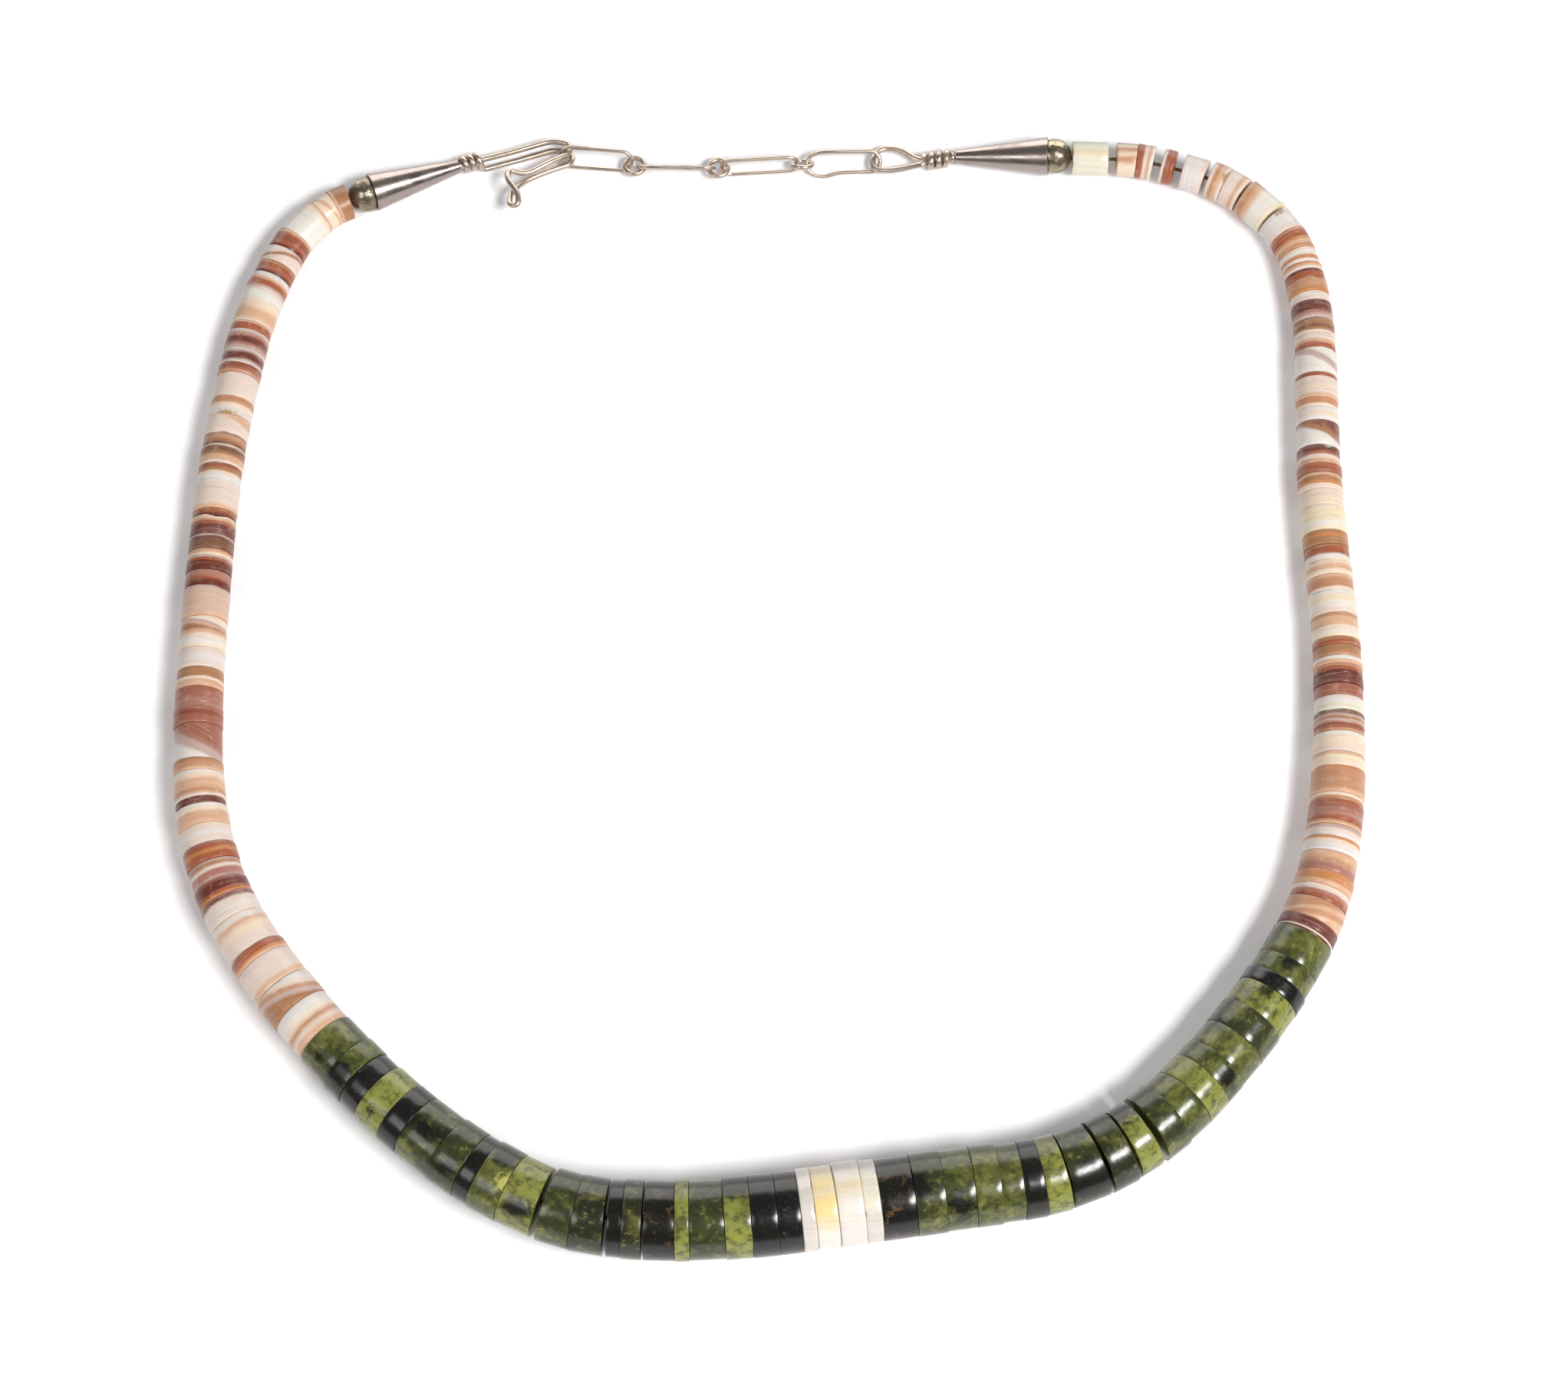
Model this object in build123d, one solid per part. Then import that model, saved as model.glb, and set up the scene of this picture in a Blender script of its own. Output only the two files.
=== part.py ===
"""Necklace of flat drilled discs, lying in its loop on a table, each piece as its own solid.

Millimetres, +Z up. X runs across the loop, from the hook's side to the eye's side. Y runs from the
middle of the pendant end to the clasp. The thread runs from the cone by the hook, round the pendant
end, to the cone by the eye, and places along it are lengths from the middle of the first ball.
"""

import os
from math import cos, radians, sin

from build123d import *

os.makedirs("parts", exist_ok=True)

# Discs. The widest is at the pendant end, and TAPER gives the others as shares of it, by the share of
# the way from the middle to either ball.
WIDEST_DISC = 12.7
TAPER = [
    # way out, hook side, eye side
    (0.0, 1.000, 1.000),
    (0.1, 0.945, 0.950),
    (0.2, 0.866, 0.865),
    (0.3, 0.800, 0.800),
    (0.4, 0.739, 0.697),
    (0.5, 0.651, 0.626),
    (0.6, 0.603, 0.585),
    (0.7, 0.576, 0.557),
    (0.8, 0.559, 0.523),
    (0.9, 0.540, 0.484),
    (1.0, 0.454, 0.426),
]
UNEVEN = (1.0, 0.985, 1.01, 0.99, 1.015, 0.975, 1.0)  # hand-cut discs differ a little from their neighbours
DRILL = 1.4
DISC_GAP = 0.14
SHELL_EDGE = 0.22
STONE_EDGE = 0.4

# Thickness of each disc, as a letter, from the hook's side to the eye's side. A sign after a letter is a
# place where the thread shows.
THICKNESS = {
    "a": 0.8, "b": 1.3, "c": 1.7, "d": 2.1, "e": 2.5, "f": 2.9, "g": 3.4, "h": 3.9, "i": 4.5,
    "j": 5.2, "k": 6.0,
}
BARE_THREAD = {".": 0.3, ":": 0.5, "=": 0.9, "#": 1.5}
LEFT_SHELL = "ffkgfegkcgediggdgfjbgebefjdggccfgkdibggfgfhkdjik"
LEFT_STONE = "jggigkieij=ii:df.idjhhg"
PEARL = "dghe"
RIGHT_STONE = "jiihgfg.j:h:g=hhhgiiiegj"
RIGHT_SHELL = "acgeegedagbiegbeedccbdbddhfefeifcbdfiechaife.gcecbfdch:k:gf=h#d#fg#k"
CHARTS = (LEFT_SHELL, LEFT_STONE, PEARL, RIGHT_STONE, RIGHT_SHELL)

# Thread and the balls beside the cones.
THREAD = 0.7
BALL = 5.9
BALL_DRILL = 1.7
BALL_FROM_MOUTH = 1.1
SEAM_WIDTH = 0.3

# Places on the table that the strand passes over, from ball to ball.
ROUTE = [
    (-81.4, 81.9), (-87.4, 67.9), (-90.1, 53.0), (-91.8, 38.1), (-92.4, 23.2), (-92.7, 8.1), (-92.5, -6.8),
    (-91.0, -21.6), (-86.4, -35.8), (-78.3, -48.4), (-68.5, -59.9), (-57.9, -70.2), (-45.8, -79.2),
    (-32.4, -85.5), (-17.4, -87.1), (-2.6, -86.3), (12.3, -84.3), (27.1, -82.1), (42.1, -79.5),
    (55.5, -72.4), (66.0, -62.0), (75.1, -50.2), (82.4, -37.2), (86.1, -22.4), (87.6, -7.5), (88.1, 7.6),
    (87.5, 22.5), (87.1, 37.6), (87.5, 52.5), (87.6, 67.6), (84.4, 82.3), (74.4, 92.5), (59.9, 97.3),
]

# Cones: the middle of each mouth and of each tip.
CONE_MOUTH = 6.5
CONE_TIP = 2.3
CONE_WALL = 0.4
RIM_EDGE = 0.1
LEFT_MOUTH, LEFT_TIP = (-69.41, 91.15, 3.24), (-55.10, 97.05, 1.96)
RIGHT_MOUTH, RIGHT_TIP = (44.66, 98.22, 3.24), (29.15, 98.85, 2.00)

# Hook and eye wires. Each ends inside its cone in a closed eye, and is wound round itself beside the tip.
WIRE = 1.0
INNER_EYE = 1.1
INNER_EYE_DEPTH = 9.0
INNER_LOOP = 1.05
SWELL = 1.1
COIL_CLEARANCE = 0.1
HOOK_BENDS = [
    (-51.3, 98.5, 1.65), (-46.9, 99.6, 1.9), (-39.4, 102.0, 2.1), (-36.3, 101.3, 2.1), (-36.2, 99.3, 2.4),
    (-39.2, 97.2, 3.3), (-43.6, 94.6, 3.3), (-46.6, 95.1, 4.0), (-46.6, 93.0, 4.4), (-44.7, 90.3, 4.4),
    (-44.6, 88.1, 4.2), (-46.2, 88.3, 3.8), (-46.0, 91.0, 3.3), (-44.1, 93.7, 2.4), (-40.5, 95.8, 2.0),
    (-35.9, 97.7, 1.7), (-36.0, 100.1, 1.0), (-38.9, 100.8, 1.1), (-43.9, 99.2, 0.9),
]
HOOK_COIL = {"from_tip": 3.65, "pitch": 1.22, "turns": 2.5, "begins_at": 20, "lead_in": 1.3}
EYE_COIL_END = (23.6, 98.05, 1.6)
EYE_BENDS = [
    (23.0, 98.15, 1.45), (19.6, 100.7, 1.5), (16.1, 100.8, 1.4), (14.9, 98.2, 1.6), (15.3, 96.4, 1.8),
    (18.4, 96.3, 1.7),
]
EYE_COIL = {"from_tip": 5.45, "pitch": 1.3, "turns": 3.3, "begins_at": 90, "lead_in": 1.1}
EYE_KNOB = 1.7
EYE_KNOB_LENGTH = 0.6
EYE_KNOB_FROM_TIP = 0.54

# Chain. A lean is how far the far side stands up, in degrees, and a lift is how far it is off the table.
LINK_WIRE = 0.68
RING_WIRE = 0.85
LINKS = [
    # start, end, width at the start, width at the end, lean, lift
    ((-38.02, 99.04), (-25.85, 97.97), 3.6, 3.5, 56, 0.04),
    ((-24.67, 96.93), (-11.84, 96.72), 3.4, 3.4, -60, 0.05),
    ((-10.52, 96.64), (2.34, 97.47), 3.4, 3.3, 78, 0.04),
    ((3.90, 97.53), (16.29, 98.16), 3.8, 3.4, 38, 0.02),
]
BENT_LINK = 4
RINGS = [
    # middle, radius of the wire's middle, lean, lift
    ((-25.31, 97.35), 1.66, -4, 1.02),
    ((-11.14, 96.79), 1.62, -2, 1.31),
    ((3.10, 97.54), 1.70, -40, 0.22),
]


def bent(points, share=0.48, closed=False):
    """Edges through straight runs, with each corner rounded by an arc that touches both runs."""
    spots = [Vector(p) for p in points]
    count = len(spots)
    corners = range(count) if closed else range(1, count - 1)
    rounds = []
    for i in corners:
        before, here, after = spots[i - 1], spots[i], spots[(i + 1) % count]
        arm = share * min((here - before).length, (after - here).length)
        heading = (here - before).normalized()
        rounds.append((here - heading * arm, here + (after - here).normalized() * arm, heading))
    edges = [] if closed else [Line(spots[0], rounds[0][0])]
    for i, (start, finish, heading) in enumerate(rounds):
        edges.append(TangentArc(start, finish, tangent=heading))
        if i + 1 < len(rounds):
            edges.append(Line(finish, rounds[i + 1][0]))
        elif closed:
            edges.append(Line(finish, rounds[0][0]))
        else:
            edges.append(Line(finish, spots[-1]))
    return edges


def drawn(edges, diameter):
    """Round wire of one diameter along edges that follow each other."""
    path = Wire(edges)
    return sweep(Plane(origin=path @ 0, z_dir=path % 0) * Circle(diameter / 2), path=path)


def along(table, way, column):
    """Value in a column of a table at a place in its first column, on the straight line between rows."""
    for low, high in zip(table, table[1:]):
        if way <= high[0]:
            part = (way - low[0]) / (high[0] - low[0])
            return low[column] + part * (high[column] - low[column])
    return table[-1][column]


def flat(vector):
    """The level part of a direction, of length 1."""
    return Vector(vector.X, vector.Y, 0).normalized()


class End:
    """One end of the strand: the cone's line from its tip to its mouth, and what sits on that line."""

    def __init__(self, mouth, tip):
        self.mouth, self.tip = Vector(*mouth), Vector(*tip)
        self.length = (self.mouth - self.tip).length
        self.way = (self.mouth - self.tip).normalized()
        self.side = flat(self.way.cross(Vector(0, 0, 1)))
        self.ball_middle = self.at(self.length + BALL_FROM_MOUTH)

    def at(self, depth):
        """Place on the line at a depth from the tip towards the mouth."""
        return self.tip + self.way * depth

    def frame(self, depth):
        """Plane across the line, facing the mouth."""
        return Plane(origin=self.at(depth), x_dir=self.side, z_dir=self.way)

    def cone(self):
        """Hollow cone, open at the tip and at the mouth."""
        outer = Cone(CONE_TIP / 2, CONE_MOUTH / 2, self.length)
        rims = outer.edges().filter_by(GeomType.CIRCLE)
        outer = fillet(rims, RIM_EDGE)
        return self.frame(self.length / 2) * (
            outer - Cone(CONE_TIP / 2 - CONE_WALL, CONE_MOUTH / 2 - CONE_WALL, self.length)
        )

    def ball(self):
        """Drilled ball with a fine seam round its middle."""
        whole = Sphere(BALL / 2) - Cylinder(BALL_DRILL / 2, BALL * 1.2)
        seam = Torus(BALL / 2 + SEAM_WIDTH * 0.25, SEAM_WIDTH / 2)
        return Plane(origin=self.ball_middle, x_dir=self.side, z_dir=flat(self.way)) * (whole - seam)

    def closed_loop(self, depth, half, diameter, up):
        """Closed loop of wire round a place on the line, with well rounded corners."""
        middle = self.at(depth)
        signs = ((-1, -1), (1, -1), (1, 1), (-1, 1))
        corners = [middle + self.way * a * half + up * b * half for a, b in signs]
        return drawn(bent(corners, share=0.36, closed=True), diameter)

    def inner_eye(self):
        """Eye of the wire inside the cone, closed on its own stem."""
        return self.closed_loop(INNER_EYE_DEPTH, INNER_EYE, WIRE * SWELL, self.side)

    def thread_loop(self):
        """Loop of the thread through the inner eye."""
        level = self.way.cross(self.side)
        return self.closed_loop(INNER_EYE_DEPTH + INNER_EYE, INNER_LOOP, THREAD * SWELL, level)


LEFT, RIGHT = End(LEFT_MOUTH, LEFT_TIP), End(RIGHT_MOUTH, RIGHT_TIP)


def half_width(way, side):
    """Half of a disc's nominal diameter, by its share of the way out and its side's column."""
    return WIDEST_DISC / 2 * along(TAPER, min(way, 1.0), side)


def strand_corners():
    """Corners of the thread's line from ball to ball, at the height of the discs' middles."""
    plan = [(LEFT.ball_middle.X, LEFT.ball_middle.Y)] + ROUTE + [(RIGHT.ball_middle.X, RIGHT.ball_middle.Y)]
    runs = [0.0]
    for (x0, y0), (x1, y1) in zip(plan, plan[1:]):
        runs.append(runs[-1] + ((x1 - x0) ** 2 + (y1 - y0) ** 2) ** 0.5)
    middle = runs[-1] * sum_of(LEFT_SHELL, LEFT_STONE, PEARL[:2]) / sum_of(*CHARTS)
    points = [LEFT.ball_middle]
    for (x, y), run in zip(ROUTE, runs[1:]):
        side = 1 if run < middle else 2
        out = (middle - run) / middle if side == 1 else (run - middle) / (runs[-1] - middle)
        points.append(Vector(x, y, half_width(out, side)))
    points.append(RIGHT.ball_middle)
    # Corners stand a quarter of the bow outside their places, so the rounded line passes through the places.
    bows = [b * 1.25 - (a + c) * 0.125 for a, b, c in zip(points, points[1:], points[2:])]
    heads = []
    for side, end in ((1, LEFT), (2, RIGHT)):
        head = end.ball_middle + flat(end.way) * BALL
        heads.append(Vector(head.X, head.Y, half_width(1, side)))
    return [points[0], heads[0], *bows, heads[1], points[-1]]


def sum_of(*charts):
    """Length of the discs and bare thread in charts, as drawn."""
    return sum((THICKNESS | BARE_THREAD)[mark] for mark in "".join(charts))


CORNERS = strand_corners()
STRAND = Wire(bent(CORNERS))
FREE = STRAND.length - BALL - DISC_GAP
STRETCH = FREE / sum_of(*CHARTS)
MIDDLE = BALL / 2 + DISC_GAP / 2 + STRETCH * sum_of(LEFT_SHELL, LEFT_STONE, PEARL[:2])


def disc(start, end, radius, edge):
    """Drilled disc between two places along the strand. Its faces stay square to the strand."""
    spots = [STRAND.position_at(place, PositionMode.LENGTH) for place in (start, end)]
    facing = [flat(STRAND.tangent_at(place, PositionMode.LENGTH)) for place in (start, end)]
    low, high = (Vector(spot.X, spot.Y, radius) for spot in spots)
    middle = Plane(origin=(low + high) / 2, z_dir=(high - low).normalized())
    reach = 3 * (high - low).length
    blank = middle * Cylinder(radius, reach)
    blank = split(blank, Plane(origin=low, z_dir=facing[0]), keep=Keep.TOP)
    blank = split(blank, Plane(origin=high, z_dir=facing[1]), keep=Keep.BOTTOM)
    blank = fillet(blank.edges().filter_by(lambda e: e.length > 5.5 * radius), min(edge, 0.3 * (end - start)))
    return blank - middle * Cylinder(DRILL / 2, reach)


def string(chart, start, edge, first):
    """Discs of a chart laid along the strand from a place, and the place where they end."""
    discs = []
    for mark in chart:
        length = STRETCH * (THICKNESS | BARE_THREAD)[mark]
        if mark in THICKNESS:
            middle = start + length / 2
            side = 1 if middle < MIDDLE else 2
            out = (MIDDLE - middle) / MIDDLE if side == 1 else (middle - MIDDLE) / (STRAND.length - MIDDLE)
            radius = half_width(out, side) * UNEVEN[(first + len(discs)) % len(UNEVEN)]
            discs.append(disc(start + DISC_GAP / 2, start + length - DISC_GAP / 2, radius, edge))
        start += length
    return discs, start


def coil(end, line, spec, left_handed):
    """Wraps round the stem: the helix edge, and the corner that leads the wire into it."""
    radius = WIRE + COIL_CLEARANCE
    begins = radians(spec["begins_at"])
    near = flat(Vector(line.Y, -line.X, 0))
    if near.Y > 0:
        near = -near
    up = near.cross(line) if left_handed else line.cross(near)
    toward = near * cos(begins) + up * sin(begins) * (1 if up.Z > 0 else -1)
    origin = end.tip - line * spec["from_tip"]
    height = spec["pitch"] * spec["turns"]
    seat = Plane(origin=origin, x_dir=toward, z_dir=line)
    helix = seat * Helix(spec["pitch"], height, radius, lefthand=left_handed)
    return helix, (helix @ 0) - (helix % 0) * spec["lead_in"]


def link(number):
    """One chain link: its corners lie in a plane that leans, and the wire is drawn round them."""
    start, end, width_0, width_1, lean, lift = LINKS[number - 1]
    first, last = Vector(*start, 0), Vector(*end, 0)
    length = (last - first).length
    ahead = (last - first).normalized()
    across = Vector(-ahead.Y, ahead.X, 0) * cos(radians(lean)) + Vector(0, 0, 1) * sin(radians(lean))
    rows = [(0, width_0 / 2), (length, width_1 / 2), (length, -width_1 / 2), (0, -width_0 / 2)]
    if number == BENT_LINK:
        # The near side was pushed in and the start bulges.
        rows = [
            (0, 0.29 * width_0), (0.18 * length, 0.53 * width_0), (length, width_1 / 2), (length, -width_1 / 2),
            (0.42 * length, -0.42 * width_0), (0.2 * length, -0.63 * width_0), (0, -0.34 * width_0),
        ]
    corners = [first + ahead * a + across * b for a, b in rows]
    return seated(drawn(bent(corners, closed=True), LINK_WIRE), lift)


def ring(number):
    """One small round ring, leaning like a link."""
    middle, radius, lean, lift = RINGS[number - 1]
    return seated(Pos(middle[0], middle[1], 0) * Rot(lean, 0, 0) * Torus(radius, RING_WIRE / 2), lift)


def seated(piece, lift):
    """A piece set down so its lowest point is at a lift above the table."""
    return Pos(0, 0, lift - piece.bounding_box().min.Z) * piece


def hook_wire():
    """Hook: stem from the left cone, out and back twice over a pinched nose, then wound round the stem."""
    line = (LEFT.tip - Vector(*HOOK_BENDS[0])).normalized()
    helix, lead = coil(LEFT, line, HOOK_COIL, left_handed=False)
    stem = [LEFT.at(INNER_EYE_DEPTH - INNER_EYE), LEFT.tip]
    edges = bent(stem + HOOK_BENDS + [lead, helix @ 0])
    return drawn(edges + [helix], WIRE) + LEFT.inner_eye()


def eye_wire():
    """Eye: stem from the right cone, the loop that holds the last link, then wound round the stem."""
    line = (RIGHT.tip - Vector(*EYE_COIL_END)).normalized()
    helix, lead = coil(RIGHT, line, EYE_COIL, left_handed=True)
    stem = [RIGHT.at(INNER_EYE_DEPTH - INNER_EYE), RIGHT.tip]
    edges = bent(stem + EYE_BENDS + [lead, helix @ 0])
    barrel = Cylinder(EYE_KNOB / 2, EYE_KNOB_LENGTH)
    barrel = fillet(barrel.edges().filter_by(GeomType.CIRCLE), 0.4 * EYE_KNOB_LENGTH)
    knob = Plane(origin=RIGHT.tip - line * EYE_KNOB_FROM_TIP, z_dir=line) * barrel
    return drawn(edges + [helix], WIRE) + knob + RIGHT.inner_eye()


def thread():
    """Thread through every disc and both balls, with its loops inside the cones."""
    starts = [end.at(INNER_EYE_DEPTH + INNER_EYE + INNER_LOOP) for end in (LEFT, RIGHT)]
    line = drawn(bent([starts[0], *CORNERS, starts[1]]), THREAD)
    return line + LEFT.thread_loop() + RIGHT.thread_loop()


place = BALL / 2 + DISC_GAP / 2
left_shell, place = string(LEFT_SHELL, place, SHELL_EDGE, 0)
left_stone, place = string(LEFT_STONE, place, STONE_EDGE, 3)
pearl, place = string(PEARL, place, STONE_EDGE, 0)
right_stone, place = string(RIGHT_STONE, place, STONE_EDGE, 1)
right_shell, place = string(RIGHT_SHELL, place, SHELL_EDGE, 5)

parts = {
    "left_shell_beads": left_shell,
    "left_stone_beads": left_stone,
    "right_stone_beads": right_stone,
    "right_shell_beads": right_shell,
    "thread": [thread()],
    "left_ball": [LEFT.ball()],
    "right_ball": [RIGHT.ball()],
    "left_cone": [LEFT.cone()],
    "right_cone": [RIGHT.cone()],
    "clasp_hook": [hook_wire()],
    "eye_loop": [eye_wire()],
}
for number, one in enumerate(pearl, 1):
    parts[f"pearl_disc_{number}"] = [one]
for number in range(1, len(LINKS) + 1):
    parts[f"chain_link_{number}"] = [link(number)]
for number in range(1, len(RINGS) + 1):
    parts[f"chain_ring_{number}"] = [ring(number)]

# The origin is under the middle of the whole, on the table.
boxes = [piece.bounding_box() for pieces in parts.values() for piece in pieces]
low = Vector(*(min(getattr(box.min, axis) for box in boxes) for axis in "XYZ"))
high = Vector(*(max(getattr(box.max, axis) for box in boxes) for axis in "XYZ"))
home = Pos(-(low.X + high.X) / 2, -(low.Y + high.Y) / 2, -low.Z)
print("moved by", [round(v, 3) for v in home.position], "size", [round(v, 2) for v in high - low])
print("strand", round(STRAND.length, 1), "mm, stretch", round(STRETCH, 4))

for name, pieces in parts.items():
    solids = [solid for piece in pieces for solid in (home * piece).solids()]
    print(name, len(solids), "solids,", round(sum(solid.volume for solid in solids), 1), "mm3")
    whole = solids[0] if len(solids) == 1 else Compound(children=solids)
    export_step(whole, f"parts/{name}.step")
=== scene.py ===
"""Heishi bead necklace: the looks of its discs, thread and silver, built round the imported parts.

The discs of shell, green stone and nacre are modelled once and copied to every disc's seat, the thread is
laid up from three plies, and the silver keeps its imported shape. Lengths are in metres unless a name says mm.
"""

import logging
import math
import random
from dataclasses import dataclass
from enum import Enum
from itertools import groupby
from typing import Any, Callable, ClassVar, Sequence, Union

import bpy
import numpy as np
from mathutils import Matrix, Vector

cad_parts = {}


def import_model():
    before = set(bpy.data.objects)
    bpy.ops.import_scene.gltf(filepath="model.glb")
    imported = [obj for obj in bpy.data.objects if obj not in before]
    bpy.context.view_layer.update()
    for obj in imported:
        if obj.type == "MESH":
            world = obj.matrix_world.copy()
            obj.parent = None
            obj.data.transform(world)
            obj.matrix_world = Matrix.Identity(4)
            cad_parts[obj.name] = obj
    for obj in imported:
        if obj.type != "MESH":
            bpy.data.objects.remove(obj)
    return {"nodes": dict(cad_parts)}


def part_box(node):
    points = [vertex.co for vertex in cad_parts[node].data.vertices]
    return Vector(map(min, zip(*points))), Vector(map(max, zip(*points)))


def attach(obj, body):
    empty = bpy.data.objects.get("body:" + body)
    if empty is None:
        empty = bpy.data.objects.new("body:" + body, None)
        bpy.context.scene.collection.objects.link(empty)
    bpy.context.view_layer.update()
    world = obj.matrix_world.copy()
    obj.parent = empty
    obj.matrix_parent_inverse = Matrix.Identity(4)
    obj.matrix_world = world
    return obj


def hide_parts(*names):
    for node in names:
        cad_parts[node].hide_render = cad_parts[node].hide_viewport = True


log = logging.getLogger("necklace")

MM = 0.001
Colour = tuple[float, float, float, float]
Number = Union["Value", float]
Word = Union["ShellWord", "StoneWord"]


def tone(red: int, green: int, blue: int) -> Colour:
    """Turns a colour as seen on a screen, 0 to 255, into the linear one that shaders use.

    Args:
        red: The red part.
        green: The green part.
        blue: The blue part.

    Returns:
        The linear colour with an alpha of one.
    """
    parts = [part / 255 for part in (red, green, blue)]
    linear = [p / 12.92 if p <= 0.04045 else ((p + 0.055) / 1.055) ** 2.4 for p in parts]
    return (linear[0], linear[1], linear[2], 1.0)


SHELL_TONES: dict[str, Colour] = {
    "w": tone(216, 209, 204),
    "i": tone(221, 215, 205),
    "v": tone(216, 211, 192),
    "y": tone(224, 208, 176),
    "c": tone(224, 203, 180),
    "k": tone(217, 199, 186),
    "j": tone(202, 171, 152),
    "p": tone(206, 165, 134),
    "t": tone(184, 134, 100),
    "s": tone(162, 115, 78),
    "o": tone(190, 126, 76),
    "g": tone(186, 160, 150),
    "m": tone(164, 114, 98),
    "r": tone(154, 96, 76),
    "n": tone(156, 84, 52),
    "b": tone(138, 76, 52),
    "e": tone(120, 82, 58),
    "u": tone(106, 52, 40),
    "d": tone(102, 42, 26),
    "a": tone(204, 197, 188),
    "q": tone(226, 204, 138),
}
GREEN_TONES: dict[str, Colour] = {
    "B": tone(127, 131, 60),
    "M": tone(82, 87, 38),
    "D": tone(52, 57, 27),
    "E": tone(32, 35, 18),
    "K": tone(14, 13, 10),
}

# Charts, read off the photograph. Each word is one disc, in the strand's order from the hook to the
# eye. A shell word has a tone for each part of the thickness, and may end in a mark of Slope. A stone word
# has its green, the marks that StoneWord lists, and how much black lies on it, from 0 to 9.
# Painted glints: the middle o of left disc 40 (rnonn) and the first w of left disc 47 (wktgss/) are glints
# charted as lighter bands.
LEFT_SHELL_LOOKS = (
    "sssp ccpcc\\ tciiiiiii pnbnd kkskk\\ snnu wwpnngk iiiccpppk pnnn wgmuumg wgudug wbbnt kkkkk otcwk "
    "pkkkk/ stse ceesppk bnscww wkkkkp snbd cpnuuu gueee tpc gnddd mmndd gjjjjjjp ckgps/ spciic kkwwkk ssss "
    "cpp nrrmm mrbrr rrrmggww/ sttp icpptk udd icppp ckwkk rnonn gskmmg ruddno mukkwkk cipcckkk nnnop "
    "kkkkkpc wktgss/ wwictkpp"
).split()
# Painted glint: the w of right disc 46 (kkwc) is a glint charted as a pale band.
RIGHT_SHELL_LOOKS = (
    "dk uuu ptptt\\ bnmkc poo mmtpp wwco wkg pt nmmrn tc ptttto ccyp kcci tr rgsgee vvwk rrr uud dnt pw tss "
    "ns yicc ppt kiyi kttp cpc cwnns ssos yiyyc cckc kcoo sp rnnp pkruu iiwsbu/ icw cto pkckk nr iigi/ nnpkk "
    "ksess gmuuu kkwc ottt nnd kpo ioic tpo nnt kwww yiiiptp kpkkk kptk kwww nnbk wpknn ctctct= vvyvvv="
).split()
PEARL_LOOKS = "iiaaaa= yyqyqqyi= aiyiiw= avva=".split()
LEFT_STONE_LOOKS = "Mo2 Mo6 Kf9 Bo1 K9 Dc4 Do3 Ki8 Miy5 Bo3 D1 E1 K7 E6 Kv7 B1 D2 Bi6 K9 Kf9".split()
RIGHT_STONE_LOOKS = "Kv8 Ds5 Mo4 M1 M1 K9 B1 Do6 E2 Bi5 D2 M2 B0 Mo4 M2 D1 Be2 Kf8 Me4 M1".split()


class Value:
    """A number, colour or direction that a shader node gives out, with the usual arithmetic."""

    def __init__(self, finish: "Finish", socket: bpy.types.NodeSocket) -> None:
        """Keeps the socket and the finish that it belongs to."""
        self.finish = finish
        self.socket = socket

    def _math(self, operation: str, first: Number, second: Number) -> "Value":
        """Adds one Math node and gives its result."""
        node = self.finish.node("ShaderNodeMath", {"operation": operation}, {0: first, 1: second})
        return Value(self.finish, node.outputs[0])

    def __add__(self, other: Number) -> "Value":
        """The sum."""
        return self._math("ADD", self, other)

    def __radd__(self, other: Number) -> "Value":
        """The sum, the other way round."""
        return self._math("ADD", other, self)

    def __sub__(self, other: Number) -> "Value":
        """The difference."""
        return self._math("SUBTRACT", self, other)

    def __rsub__(self, other: Number) -> "Value":
        """The difference, the other way round."""
        return self._math("SUBTRACT", other, self)

    def __mul__(self, other: Number) -> "Value":
        """The product."""
        return self._math("MULTIPLY", self, other)

    def __rmul__(self, other: Number) -> "Value":
        """The product, the other way round."""
        return self._math("MULTIPLY", other, self)


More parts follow.
